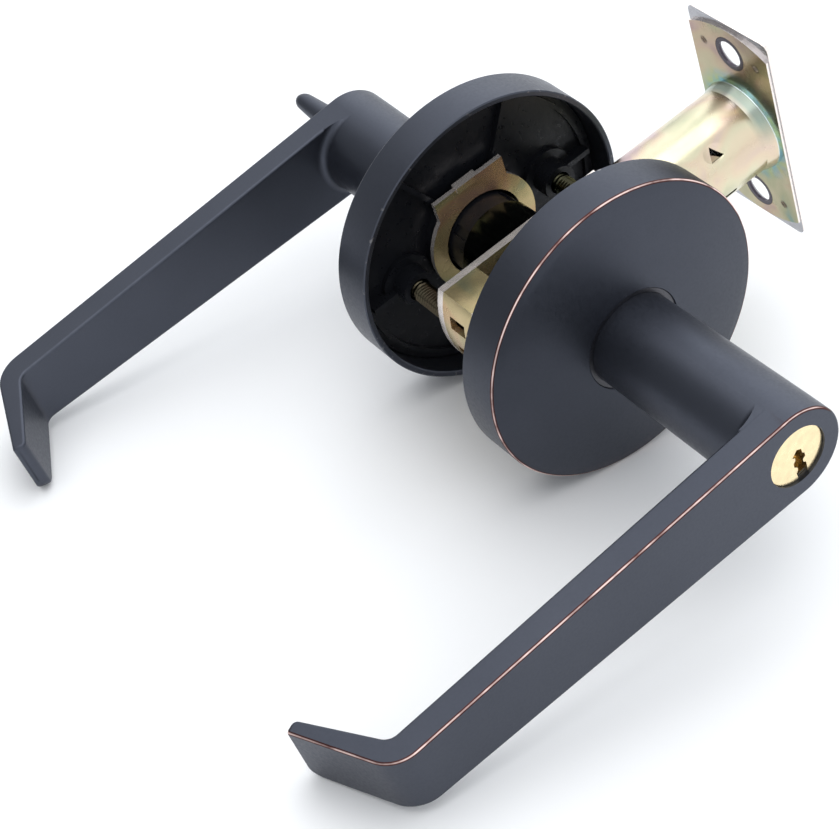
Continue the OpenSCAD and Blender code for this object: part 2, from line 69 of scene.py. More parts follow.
# Levers: how far they hang below level, then the arm and its bent end
DROOP = math.radians(1.9)
ARM_T = 6.3 * MM
BEND_X = 101 * MM
RETURN_LEN = 25.4 * MM
RETURN_ANGLE = math.radians(67.6)
INNER_ANGLE = math.radians(61.4)
OUTER_BEND_R = 8 * MM
INNER_BEND_R = 3.2 * MM
TIP_T = 3.1 * MM
TIP_HALF_W = 7.7 * MM
TIP_EDGE_R = 0.6 * MM
TIP_CORNER_R = 3.2 * MM
TIP_BACK_R = 1.3 * MM
EDGE_R = {"front_top": 0.6 * MM, "front_bottom": 0.6 * MM, "back_bottom": 0.9 * MM, "back_top": 0.7 * MM}

# Neck of both levers
NECK_FILLET_R = 2 * MM
NECK_TAPER = 0.4 * MM
NECK_STRAIGHT = 4.5 * MM
NECK_STEPS = 160

# The worn edge fades in between these two directions round the head, in degrees up from +X
WEAR_FROM = 20
WEAR_FULL = 55


def clamp(value):
    """The value, held between 0 and 1."""
    return max(0, min(1, value))


# ---------- mesh helpers ----------

def new_piece(name, mesh):
    """A new object in the scene."""
    piece = bpy.data.objects.new(name, mesh)
    bpy.context.scene.collection.objects.link(piece)
    return piece


def piece_of(name, bm):
    """A new piece with the closed surface in bm, its faces turned outwards."""
    bmesh.ops.recalc_face_normals(bm, faces=bm.faces)
    mesh = bpy.data.meshes.new(name)
    bm.to_mesh(mesh)
    bm.free()
    return new_piece(name, mesh)


def shade(piece, angle=34):
    """Smooth shading that keeps edges sharper than angle, in degrees."""
    mesh = piece.data
    mesh.polygons.foreach_set("use_smooth", [True] * len(mesh.polygons))
    mesh.set_sharp_from_angle(angle=math.radians(angle))
    return piece


def mark(piece, name, values):
    """Keeps a number for each point of the piece, which its material reads by that name."""
    attribute = piece.data.attributes.new(name, "FLOAT", "POINT")
    attribute.data.foreach_set("value", values)


def oval(y, half_x, half_z, steps, centre_x=0):
    """A ring of points at y, seen along Y as an oval."""
    turns = [2 * math.pi * i / steps for i in range(steps)]
    return [Vector((centre_x + half_x * math.cos(turn), y, half_z * math.sin(turn))) for turn in turns]


def from_rings(name, rings):
    """A skin over rings of points, closed by a face at both ends."""
    bm = bmesh.new()
    made = [[bm.verts.new(place) for place in ring] for ring in rings]
    count = len(rings[0])
    for low, high in zip(made, made[1:]):
        for i in range(count):
            j = (i + 1) % count
            bm.faces.new((low[i], low[j], high[j], high[i]))
    bm.faces.new(list(reversed(made[0])))
    bm.faces.new(made[-1])
    return piece_of(name, bm)


def spun(name, profile, steps):
    """A closed profile of (radius, y) turned about the Y axis. Points on the axis have radius 0."""
    bm = bmesh.new()
    columns = []
    for radius, y in profile:
        if radius > 0:
            columns.append([bm.verts.new(place) for place in oval(y, radius, radius, steps)])
        else:
            columns.append([bm.verts.new((0, y, 0))] * steps)
    for a, b in zip(columns, columns[1:] + columns[:1]):
        for i in range(steps):
            j = (i + 1) % steps
            corners = []
            for vertex in (a[i], a[j], b[j], b[i]):
                if vertex not in corners:
                    corners.append(vertex)
            if len(corners) > 2:
                bm.faces.new(corners)
    return piece_of(name, bm)


def rod(name, radius, y0, y1):
    """A round bar on the Y axis."""
    return spun(name, [(0, y0), (radius, y0), (radius, y1), (0, y1)], steps=96)


def block(name, low, high):
    """A box between two opposite corners."""
    x0, y0, z0 = low
    x1, y1, z1 = high
    corners = ((x0, z0), (x1, z0), (x1, z1), (x0, z1))
    return from_rings(name, [[Vector((x, y, z)) for x, z in corners] for y in (y0, y1)])


def combine(piece, other, operation):
    """Joins, cuts or trims piece with another, which is used up."""
    modifier = piece.modifiers.new("combine", "BOOLEAN")
    modifier.operation = operation
    modifier.solver = "EXACT"
    modifier.object = other
    bpy.context.view_layer.update()
    graph = bpy.context.evaluated_depsgraph_get()
    mesh = bpy.data.meshes.new_from_object(piece.evaluated_get(graph), depsgraph=graph)
    piece.modifiers.remove(modifier)
    old = piece.data
    piece.data = mesh
    bpy.data.meshes.remove(old)
    bpy.data.objects.remove(other)
    return piece


def cut(piece, cutter):
    """Takes the cutter's shape out of piece."""
    combine(piece, cutter, "DIFFERENCE")


def coil(name, radius, length, turns, wire_r, start, axis, turn_steps, sides=12):
    """A helical spring from start along axis, X or Y. Its radius is to the middle of the wire."""
    pitch = (length - 2 * wire_r) / turns
    rise = math.atan2(pitch, 2 * math.pi * radius)
    rings = []
    for i in range(turns * turn_steps + 1):
        turn = 2 * math.pi * i / turn_steps
        ring = []
        for k in range(sides):
            round_wire = 2 * math.pi * k / sides
            out = radius + wire_r * math.cos(round_wire)
            lift = wire_r * math.sin(round_wire)
            across = out * math.cos(turn) + lift * math.sin(rise) * math.sin(turn)
            up = out * math.sin(turn) - lift * math.sin(rise) * math.cos(turn)
            along = pitch * i / turn_steps + wire_r + lift * math.cos(rise)
            place = (along, across, up) if axis == "X" else (across, along, up)
            ring.append(Vector(place) + start)
        rings.append(ring)
    return shade(from_rings(name, rings), 60)


# ---------- materials ----------

def math_node(tree, operation, a, b):
    """Output of a maths node. Each of a and b is a number or another node's output."""
    node = tree.nodes.new("ShaderNodeMath")
    node.operation = operation
    for index, value in enumerate((a, b)):
        if isinstance(value, bpy.types.NodeSocket):
            tree.links.new(value, node.inputs[index])
        else:
            node.inputs[index].default_value = value
    return node.outputs[0]


def facing_node(tree, vector, direction):
    """How far a node's vector points in a fixed direction: 1 along it, -1 against it."""
    node = tree.nodes.new("ShaderNodeVectorMath")
    node.operation = "DOT_PRODUCT"
    node.inputs[1].default_value = direction
    tree.links.new(vector, node.inputs[0])
    return node.outputs["Value"]


class Look:
    """A material with a Principled shader and short ways to add nodes to it."""

    def __init__(self, name, metallic):
        self.material = bpy.data.materials.new(name)
        self.material.use_nodes = True
        self.tree = self.material.node_tree
        self.nodes = self.tree.nodes
        self.links = self.tree.links
        self.shader = self.nodes["Principled BSDF"]
        self.set("Metallic", metallic)
        self.place = self.nodes.new("ShaderNodeTexCoord").outputs["Object"]

    def set(self, socket, value):
        """Gives one of the shader's inputs a value or another node's output."""
        if isinstance(value, bpy.types.NodeSocket):
            self.links.new(value, self.shader.inputs[socket])
        else:
            self.shader.inputs[socket].default_value = value

    def noise(self, scale, detail, distortion=0, stretch=None):
        """Soft random pattern, finer with scale. With stretch it is drawn out along an axis."""
        place = self.place
        if stretch:
            mapping = self.nodes.new("ShaderNodeMapping")
            mapping.inputs["Scale"].default_value = stretch
            self.links.new(place, mapping.inputs["Vector"])
            place = mapping.outputs["Vector"]
        node = self.nodes.new("ShaderNodeTexNoise")
        node.inputs["Scale"].default_value = scale
        node.inputs["Detail"].default_value = detail
        node.inputs["Distortion"].default_value = distortion
        self.links.new(place, node.inputs["Vector"])
        return node.outputs["Fac"]

    def ramp(self, value, stops):
        """Colour that changes with value through stops of (value, colour)."""
        node = self.nodes.new("ShaderNodeValToRGB")
        ramp = node.color_ramp
        while len(ramp.elements) < len(stops):
            ramp.elements.new(0.5)
        for element, (position, colour) in zip(ramp.elements, stops):
            element.position = position
            element.color = (*colour, 1)
        self.links.new(value, node.inputs["Fac"])
        return node.outputs["Color"]

    def range(self, value, low, high, to_low, to_high):
        """Goes from to_low to to_high while value goes from low to high, and stays there beyond."""
        node = self.nodes.new("ShaderNodeMapRange")
        limits = {"From Min": low, "From Max": high, "To Min": to_low, "To Max": to_high}
        for socket, number in limits.items():
            node.inputs[socket].default_value = number
        self.links.new(value, node.inputs["Value"])
        return node.outputs["Result"]

    def mix(self, share, a, b):
        """Colour a where share is 0 and colour b where it is 1."""
        node = self.nodes.new("ShaderNodeMix")
        node.data_type = "RGBA"
        for socket, value in ((0, share), (6, a), (7, b)):
            if isinstance(value, bpy.types.NodeSocket):
                self.links.new(value, node.inputs[socket])
            else:
                node.inputs[socket].default_value = (*value, 1)
        return node.outputs[2]

    def math(self, operation, a, b):
        return math_node(self.tree, operation, a, b)

    def attribute(self, name):
        """The number that mark() left at each point of the piece."""
        node = self.nodes.new("ShaderNodeAttribute")
        node.attribute_name = name
        return node.outputs["Fac"]

    def coordinates(self):
        """X, Y and Z of the surface."""
        node = self.nodes.new("ShaderNodeSeparateXYZ")
        self.links.new(self.place, node.inputs[0])
        return tuple(node.outputs)

    def distance(self, place):
        """Distance of the surface from a place."""
        node = self.nodes.new("ShaderNodeVectorMath")
        node.operation = "DISTANCE"
        self.links.new(self.place, node.inputs[0])
        node.inputs[1].default_value = place
        return node.outputs["Value"]

    def from_axis(self):
        """Distance of the surface from the latch's axis."""
        _, y, z = self.coordinates()
        squares = [self.math("MULTIPLY", part, part) for part in (y, z)]
        return self.math("POWER", self.math("ADD", *squares), 0.5)

    def bump(self, height, distance, strength):
        """Fine relief, distance deep in metres, drawn as strongly as strength says."""
        node = self.nodes.new("ShaderNodeBump")
        node.inputs["Distance"].default_value = distance
        node.inputs["Strength"].default_value = strength
        self.links.new(height, node.inputs["Height"])
        self.set("Normal", node.outputs["Normal"])


def dark_coat(name, worn=False, depth=1.0):
    """Satin blue-black coating, chipped on rims and, where worn, copper on edges. Depth below 1 darkens it
    as painted shade.
    """
    look = Look(name, metallic=0.9)
    darker = tuple(depth * part for part in (0.058, 0.064, 0.083))
    lighter = tuple(depth * part for part in (0.077, 0.084, 0.106))
    colour = look.mix(look.noise(scale=45, detail=4), darker, lighter)
    if worn:
        patches = look.range(look.noise(scale=180, detail=3), 0.3, 0.6, 0.6, 1)
        wear = look.math("MULTIPLY", look.attribute("wear"), patches)
        stops = [(0, (0.04, 0.02, 0.02)), (0.45, (0.10, 0.027, 0.024)), (0.8, (0.95, 0.73, 0.68))]
        colour = look.mix(look.range(wear, 0, 0.1, 0, 1), colour, look.ramp(wear, stops))
    on_rim = look.range(look.attribute("chips"), 0.95, 0.98, 0, 1)
    flakes = look.range(look.noise(scale=420, detail=3), 0.62, 0.67, 0, 1)
    look.set("Base Color", look.mix(look.math("MULTIPLY", on_rim, flakes), colour, (0.20, 0.20, 0.21)))
    grain = look.noise(scale=1500, detail=2)
    look.set("Roughness", look.range(grain, 0.3, 0.7, 0.36, 0.47))
    look.bump(grain, distance=0.02 * MM, strength=0.3)
    return look.material


def black_casting():
    """Rough black die casting."""
    look = Look("black_casting", metallic=0.3)
    look.set("Specular IOR Level", 0.3)
    clouds = look.noise(scale=90, detail=3)
    look.set("Base Color", look.mix(clouds, (0.005, 0.006, 0.008), (0.015, 0.016, 0.021)))
    rough = look.noise(scale=700, detail=4)
    look.set("Roughness", look.range(rough, 0.3, 0.7, 0.24, 0.48))
    look.bump(rough, distance=0.06 * MM, strength=0.5)
    return look.material


def yellow_zinc(name, depth=1.0, paleness=0.0, where=(), metallic=1.0, tint=(1, 1, 1)):
    """Passivated zinc: cream metal with soft drifts of green, gold, bronze and pink.

    Depth darkens it and paleness fades the drifts to silver. Each where(look, colour) colours it by place.
    """
    look = Look(name, metallic)
    silver = (0.84, 0.84, 0.78)
    tones = [
        (0.28, (0.34, 0.50, 0.42)), (0.38, (0.60, 0.59, 0.36)), (0.52, (0.76, 0.69, 0.45)),
        (0.62, (0.80, 0.62, 0.42)), (0.74, (0.66, 0.45, 0.46)),
    ]
    stops = []
    for position, tone in tones:
        faded = [part + paleness * (pale - part) for part, pale in zip(tone, silver)]
        stops.append((position, tuple(depth * warmth * part for part, warmth in zip(faded, tint))))
    drifts = look.noise(scale=60, detail=2, distortion=1.0)
    colour = look.ramp(drifts, stops)
    for change in where:
        colour = change(look, colour)
    look.set("Base Color", colour)
    smears = look.noise(scale=160, detail=3)
    look.set("Roughness", look.range(smears, 0.3, 0.7, 0.17, 0.30))
    look.bump(look.noise(scale=420, detail=2), distance=0.012 * MM, strength=0.5)
    return look.material


def metal(name, colour, roughness, scale=300, stretch=(1, 1, 8), where=()):
    """Plain metal with fine drawn or brushed marks. Each where(look, colour) colours it by place."""
    look = Look(name, metallic=1.0)
    marks = look.noise(scale, detail=4, stretch=stretch)
    darker = tuple(0.85 * part for part in colour)
    marked = look.mix(look.range(marks, 0.35, 0.65, 0, 1), darker, colour)
    for change in where:
        marked = change(look, marked)
    look.set("Base Color", marked)
    look.set("Roughness", look.range(marks, 0.3, 0.7, roughness - 0.05, roughness + 0.07))
    look.bump(marks, distance=0.006 * MM, strength=0.4)
    return look.material


def painted_shadow_beside_flare(look, colour):
    """Painted shadow in green and blue on the backing plate, close to the flared mouth of the tube."""
    flare_r = 11.4 * MM
    shadow_end_r = 15.5 * MM
    drifts = look.noise(scale=150, detail=2, distortion=1.5)
    tint = look.ramp(drifts, [(0.4, (0.10, 0.34, 0.40)), (0.6, (0.30, 0.42, 0.16))])
    # Painted shadow: green and blue, strongest at the mouth and fading outwards
    return look.mix(look.range(look.from_axis(), flare_r, shadow_end_r, 0.85, 0), colour, tint)


def painted_shade_at_stakes(look, colour):
    """Painted shade in the dents where the two plates are staked together."""
    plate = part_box("latch_backing_plate")
    stake_shade_r = 0.7 * MM
    stake_shade_end_r = 1.3 * MM
    for y in (-STAKE_Y, STAKE_Y):
        for z in (-SCREW_Z, SCREW_Z):
            near = look.distance((plate[0].x, y, z))
            # Painted shade: a dark brown spot in each dent
            colour = look.mix(look.range(near, stake_shade_r, stake_shade_end_r, 0.9, 0), colour, (0.07, 0.055, 0.04))
    return colour


def painted_light_on_flare(look, colour):
    """Painted dark green shade and reflection up the top of the flared mouth, then a painted pale blue
    highlight round its lip.
    """
    flare_from = 54 * MM
    flare_to = 56.5 * MM
    lip_highlight_from = 58.1 * MM
    lip_highlight_to = 58.3 * MM
    shade_from = 1 * MM
    shade_full = 7 * MM
    x, _, z = look.coordinates()
    on_flare = look.range(x, flare_from, flare_to, 0, 1)
    shade_on_top = look.range(z, shade_from, shade_full, 0, 0.85)
    # Painted shade and reflection: dark green on the top of the flare
    colour = look.mix(look.math("MULTIPLY", on_flare, shade_on_top), colour, (0.24, 0.32, 0.28))
    # Painted highlight: a pale blue line round the lip
    return look.mix(look.range(x, lip_highlight_from, lip_highlight_to, 0, 1), colour, (0.80, 0.93, 0.98))


def painted_edge_highlights(axis):
    """Painted highlights on the edges of a stamped plate, whose faces look along axis."""
    def paint_edge_highlight(look, colour):
        normal = look.nodes.new("ShaderNodeTexCoord").outputs["Normal"]
        facing = look.math("POWER", facing_node(look.tree, normal, axis), 2)
        # Painted highlight: pale where the surface turns away from the plate's axis
        return look.mix(look.range(facing, 0.3, 0.6, 1, 0), colour, (0.95, 0.87, 0.82))
    return paint_edge_highlight


def round_screw_holes(look, colour):
    """Darker metal where the faceplate is pressed back round its two screw holes."""
    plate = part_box("latch_faceplate")
    pressed_r = 4.4 * MM
    pressed_end_r = 5.2 * MM
    for side in (-1, 1):
        near = look.distance((plate[0].x, 0, side * SCREW_Z))
        colour = look.mix(look.range(near, pressed_r, pressed_end_r, 1, 0), colour, (0.07, 0.06, 0.075))
    return colour


# Painted highlights on the edges of the latch plates and of the plates facing the levers
LATCH_EDGE_HIGHLIGHTS = painted_edge_highlights((1, 0, 0))
LEVER_SIDE_EDGE_HIGHLIGHTS = painted_edge_highlights((0, 1, 0))
WARM = (1.05, 0.90, 0.72)
BRIGHT = (0.50, 0.50, 0.53)

LOOKS = {
    "dark_finish": dark_coat("dark_finish"),
    "dark_finish_worn": dark_coat("dark_finish_worn", worn=True),
    # A darker copy of the coat for the outside rose: painted shade
    "dark_finish_shaded_rose": dark_coat("dark_finish_shaded_rose", worn=True, depth=0.86),
    "black_casting": black_casting(),
    "yellow_zinc": yellow_zinc("yellow_zinc", paleness=0.15),
    "yellow_zinc_tube": yellow_zinc("yellow_zinc_tube", depth=0.9, paleness=0.2, where=(painted_light_on_flare,)),
    "yellow_zinc_plate": yellow_zinc(
        "yellow_zinc_plate", depth=0.62, where=(painted_shadow_beside_flare, painted_shade_at_stakes, LATCH_EDGE_HIGHLIGHTS)
    ),
    "yellow_zinc_cage": yellow_zinc(
        "yellow_zinc_cage", depth=0.8, where=(LEVER_SIDE_EDGE_HIGHLIGHTS,), metallic=0.75, tint=WARM
    ),
    "yellow_zinc_housing": yellow_zinc(
        "yellow_zinc_housing", depth=0.95, paleness=0.2, where=(LEVER_SIDE_EDGE_HIGHLIGHTS,), metallic=0.75, tint=WARM
    ),
    "yellow_zinc_shell": yellow_zinc("yellow_zinc_shell", depth=0.75, paleness=0.1, metallic=0.8, tint=WARM),
    "yellow_zinc_fold": yellow_zinc("yellow_zinc_fold", depth=0.25),
    "dark_zinc": yellow_zinc("dark_zinc", depth=0.09),
    "oiled_steel": metal("oiled_steel", (0.035, 0.042, 0.036), roughness=0.16),
    "bright_steel": metal("bright_steel", BRIGHT, roughness=0.24),
    "bright_steel_plate": metal(
        "bright_steel_plate", BRIGHT, roughness=0.24, where=(LATCH_EDGE_HIGHLIGHTS, round_screw_holes)
    ),
    "steel": metal("steel", (0.36, 0.36, 0.37), roughness=0.33),
    "spring_steel": metal("spring_steel", (0.30, 0.30, 0.32), roughness=0.28),
    "brass": metal("brass", (1.0, 0.82, 0.50), roughness=0.23, scale=500, stretch=(1, 1, 1)),
    # The bush's dark grey is painted shade for the gap between the neck and the rose; only its highlight
    # shows
    "bush_metal": metal("bush_metal", (0.10, 0.10, 0.11), roughness=0.35),
}

# CAD nodes whose look differs from their slot's
NODE_LOOKS = {
    "latch_tube": "yellow_zinc_tube",
    "latch_backing_plate": "yellow_zinc_plate",
    "latch_faceplate": "bright_steel_plate",
    "inside_spring_cage": "yellow_zinc_cage",
    "outside_spring_cage": "yellow_zinc_cage",
    "housing_inside_plate": "yellow_zinc_housing",
    "housing_outside_plate": "yellow_zinc_housing",
    "inside_hub": "oiled_steel",
    "outside_hub": "oiled_steel",
    "housing_shell": "yellow_zinc_shell",
}


def paint(piece, look):
    """Gives a piece one of the looks, and no other."""
    piece.data.materials.clear()
    piece.data.materials.append(LOOKS[look])


def finish_piece(piece, body, slot, replaced=(), look=None):
    """Paints a piece, hangs it on its body and hides the nodes it replaces. Its look is its slot's unless
    given.
    """
    paint(piece, look or slot)
    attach(piece, body)
    if replaced:
        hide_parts(*replaced)


# ---------- levers ----------

def arc_points(x, y, radius, start, end):
    """Points along an arc round (x, y) from one angle to another, both ends included."""
    steps = 12
    turns = [start + (end - start) * i / steps for i in range(steps + 1)]
    return [Vector((x + radius * math.cos(turn), y + radius * math.sin(turn))) for turn in turns]


def arm_paths(face):
    """Matching points along the front and back of the arm, seen from above, in (x, y)."""
    outer_run = OUTER_BEND_R * math.tan(RETURN_ANGLE / 2)
    inner_run = INNER_BEND_R * math.tan(INNER_ANGLE / 2)
    outer_heading = Vector((-math.cos(RETURN_ANGLE), -math.sin(RETURN_ANGLE)))
    inner_heading = Vector((-math.cos(INNER_ANGLE), -math.sin(INNER_ANGLE)))
    tip = Vector((-BEND_X, face)) + RETURN_LEN * outer_heading
    inner_tip = tip + TIP_T * Vector((math.sin(RETURN_ANGLE), -math.cos(RETURN_ANGLE)))
    back_y = face - ARM_T
    inner_x = inner_tip.x - inner_heading.x * (inner_tip.y - back_y) / inner_heading.y
    outer_arc = arc_points(
        -BEND_X + outer_run, face - OUTER_BEND_R, OUTER_BEND_R, QUARTER, QUARTER + RETURN_ANGLE
    )
    inner_arc = arc_points(
        inner_x + inner_run, back_y - INNER_BEND_R, INNER_BEND_R, QUARTER, QUARTER + INNER_ANGLE
    )
    arm_steps = 40
    front = [Vector((outer_arc[0].x * i / arm_steps, face)) for i in range(arm_steps)] + outer_arc
    back = [Vector((inner_arc[0].x * i / arm_steps, back_y)) for i in range(arm_steps)] + inner_arc
    return_steps = 14
    for i in range(1, return_steps + 1):
        front.append(outer_arc[-1].lerp(tip, i / return_steps))
        back.append(inner_arc[-1].lerp(inner_tip, i / return_steps))
    return front, back


def half_height(x, neck_r):
    """Half the arm's height at x: the head's circle, then straight sides that run to the tip."""
    past_tip = 1 * MM
    reach = BEND_X + RETURN_LEN * math.cos(RETURN_ANGLE) + past_tip
    taper = math.asin(neck_r / math.hypot(reach, TIP_HALF_W)) - math.atan(TIP_HALF_W / reach)
    touch_x = -neck_r * math.sin(taper)
    if x > touch_x:
        return math.sqrt(max(neck_r * neck_r - x * x, 0))
    return neck_r * math.cos(taper) - (touch_x - x) * math.tan(taper)


def round_off(distance, radius):
    """How far a round end of that radius has drawn in, at that distance from the end."""
    if distance >= radius:
        return 0
    return radius - math.sqrt(max(radius * radius - (radius - distance) ** 2, 0))


def arm_section(front, back, from_tip, neck_r):
    """One closed section of the arm, with its four edges rounded."""
    along = back - front
    thick = along.length
    unit = along / thick
    cut_front = round_off(from_tip, TIP_EDGE_R)
    cut_back = max(cut_front, round_off(from_tip, TIP_BACK_R))
    lift = round_off(from_tip, TIP_CORNER_R)
    widest_r = 0.3 * thick
    steps = 5
    towards_face = [i / steps for i in range(steps + 1)]
    from_face = [1 - part for part in towards_face]
    points = []
    for name, turns in (
        ("front_bottom", from_face), ("front_top", towards_face),
        ("back_top", from_face), ("back_bottom", towards_face),
    ):
        radius = min(EDGE_R[name], widest_r)
        for part in turns:
            angle = part * QUARTER
            deep = radius - radius * math.cos(angle)
            inset = radius - radius * math.sin(angle)
            if name.startswith("front"):
                place = front + (cut_front + deep) * unit
            else:
                place = front + (thick - cut_back - deep) * unit
            height = half_height(place.x, neck_r) - inset - cut_front
            z = height if name.endswith("top") else lift - height
            points.append(Vector((place.x, place.y, z)))
    return points


def path_lengths(points):
    """Distance along a path to each of its points."""
    total = [0]
    for a, b in zip(points, points[1:]):
        total.append(total[-1] + (b - a).length)
    return total


def arm(face, neck_r):
    """The whole arm as a skin over its sections, closer together near the tip."""
    front, back = arm_paths(face)
    lengths = path_lengths(front)
    whole = lengths[-1]
    rings = []
    for place_front, place_back, length in zip(front[:-1], back[:-1], lengths[:-1]):
        rings.append(arm_section(place_front, place_back, whole - length, neck_r))
    last_front, last_back = front[-2], back[-2]
    step = whole - lengths[-2]
    closer_together = (0.35, 0.55, 0.7, 0.82, 0.91, 0.97, 1)
    for part in closer_together:
        rings.append(arm_section(
            last_front.lerp(front[-1], part), last_back.lerp(back[-1], part), step * (1 - part), neck_r
        ))
    return from_rings("arm", rings)


def neck_and_head(face, neck_from, neck_r):
    """Round bar from inside the rose to the lever's face, where its edge is rounded."""
    edge = EDGE_R["front_top"]
    chamfer = 0.4 * MM
    steps = 6
    profile = [(0, face)]
    for i in range(steps + 1):
        angle = i / steps * QUARTER
        profile.append((neck_r - edge + edge * math.sin(angle), face - edge + edge * math.cos(angle)))
    end_r = neck_r - NECK_TAPER
    profile += [
        (neck_r, face - ARM_T), (end_r, neck_from + NECK_STRAIGHT), (end_r, neck_from + chamfer),
        (end_r - chamfer, neck_from), (0, neck_from),
    ]
    return spun("head", profile, NECK_STEPS)


def neck_fillet(face, neck_r):
    """Hollow fillet between the neck and the back of the arm, no wider than the arm."""
    back = face - ARM_T
    inner_r = neck_r - 2 * MM
    centre_r = neck_r + NECK_FILLET_R
    steps = 12
    profile = [(inner_r, back + PAST), (inner_r, back - NECK_FILLET_R)]
    for i in range(steps + 1):
        angle = i / steps * QUARTER
        profile.append((
            centre_r - NECK_FILLET_R * math.cos(angle),
            back - NECK_FILLET_R + NECK_FILLET_R * math.sin(angle),
        ))
    profile.append((centre_r, back + PAST))
    fillet = spun("fillet", profile, NECK_STEPS)
    length = 30 * MM
    inset = 0.02 * MM
    outline_from = back - 10 * MM
    outline_to = back + 0.5 * MM
    outline_steps = 48
    places = [-length * i / outline_steps for i in range(outline_steps + 1)]
    outline = [(x, half_height(x, neck_r) - inset) for x in places]
    loop = outline + [(x, -z) for x, z in reversed(outline)]
    rings = [[Vector((x, y, z)) for x, z in loop] for y in (outline_from, outline_to)]
    return combine(fillet, from_rings("outline", rings), "INTERSECT")


def edge_share(deep, inset, radius):
    """1 in the middle of a rounded edge, 0 where it runs out into the two faces and beyond."""
    slack = 0.05 * MM
    reach = 1.1 * radius
    if min(deep, inset) <= -slack or max(deep, inset) >= reach:
        return 0
    middle = radius * (1 - math.sqrt(0.5))
    full_width = 1.25
    return clamp(full_width * (1 - abs(min(deep, inset) - middle) / middle))


def distance_to(point, a, b):
    """Distance of a point from the straight line between a and b."""
    along = b - a
    share = clamp((point - a).dot(along) / along.length_squared)
    return (point - a - share * along).length


def wear_of_lever(piece, face, neck_r):
    """Marks the rounded edge along the top of the lever's front and over its head."""
    front, _ = arm_paths(face)
    values = []
    for vertex in piece.data.vertices:
        x, y, z = vertex.co
        if x >= 0:
            deep = face - y
            inset = neck_r - math.hypot(x, z)
            fade = clamp((math.degrees(math.atan2(z, x)) - WEAR_FROM) / (WEAR_FULL - WEAR_FROM))
        else:
            deep = min(distance_to(Vector((x, y)), a, b) for a, b in zip(front, front[1:]))
            inset = half_height(x, neck_r) - z
            fade = 1
        values.append(fade * edge_share(deep, inset, EDGE_R["front_top"]))
    mark(piece, "wear", values)


def cut_for_cylinder(piece, face):
    """Room in the outside lever for the key cylinder, with a round mouth for its plug at the face."""
    low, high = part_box("cylinder_body")
    gap = 0.05 * MM
    bore_r = 8.65 * MM
    back = -high.y - 1.5 * MM
    front = -low.y + gap
    slot_half_w = 3.35 * MM
    mouth_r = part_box("cylinder_plug")[1].x + 0.12 * MM
    mouth_depth = 4 * MM
    cut(piece, rod("bore", bore_r, back, front))
    cut(piece, block("slot", (-slot_half_w, back, low.z - gap), (slot_half_w, front, 0)))
    cut(piece, rod("mouth", mouth_r, face - mouth_depth, face + PAST))


def cut_for_thumb_turn(piece, neck_from, face):
    """Bore in the inside lever for the locking bar, narrower at the face for the thumb turn."""
    bar_r = 4.6 * MM
    turn_r = 3.95 * MM
    turn_depth = 6 * MM
    cut(piece, rod("bore", bar_r, neck_from, face - turn_depth))
    cut(piece, rod("bore", turn_r, neck_from, face + PAST))


def cut_for_catch(piece, side):
    """Pocket in the neck for the outer end of the lever catch."""
    low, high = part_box(f"{side}_lever_catch")
    near, far = sorted((abs(low.y), abs(high.y)))
    gap = 0.2 * MM
    half_w = 1.6 * MM
    pocket_from = near + 11 * MM
    bottom = 7 * MM
    cut(piece, block("pocket", (-half_w, pocket_from, bottom), (half_w, far + gap, high.z + gap)))


def lever(side):
    """Arm, neck and head in one, made on the inside and mirrored for the outside."""
    low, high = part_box(f"{side}_lever")
    neck_from, face = sorted((abs(low.y), abs(high.y)))
    neck_r = high.x
    piece = combine(arm(face, neck_r), neck_fillet(face, neck_r), "UNION")
    combine(piece, neck_and_head(face, neck_from, neck_r), "UNION")
    spindle_bore_r = 8.25 * MM
    end_gap = 1 * MM
    spindle_end = max(abs(corner.y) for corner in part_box(f"{side}_spindle"))
    cut(piece, rod("bore", spindle_bore_r, neck_from - PAST, spindle_end + end_gap))
    if side == "outside":
        cut_for_cylinder(piece, face)
    else:
        cut_for_thumb_turn(piece, neck_from, face)
    cut_for_catch(piece, side)
    wear_of_lever(piece, face, neck_r)
    piece.name = f"{side}_lever_shape"
    sign = SIDES[side]
    piece.data.transform(Matrix.Scale(sign, 4, (0, 1, 0)) @ Matrix.Rotation(-DROOP, 4, "Y"))
    if sign < 0:
        piece.data.flip_normals()
    shade(piece)
    piece.modifiers.new("even", "WEIGHTED_NORMAL").keep_sharp = True
    look = "dark_finish_worn" if side == "outside" else "dark_finish"
    finish_piece(piece, f"{side}_lever_assembly", "dark_finish", (f"{side}_lever",), look)


# ---------- roses ----------

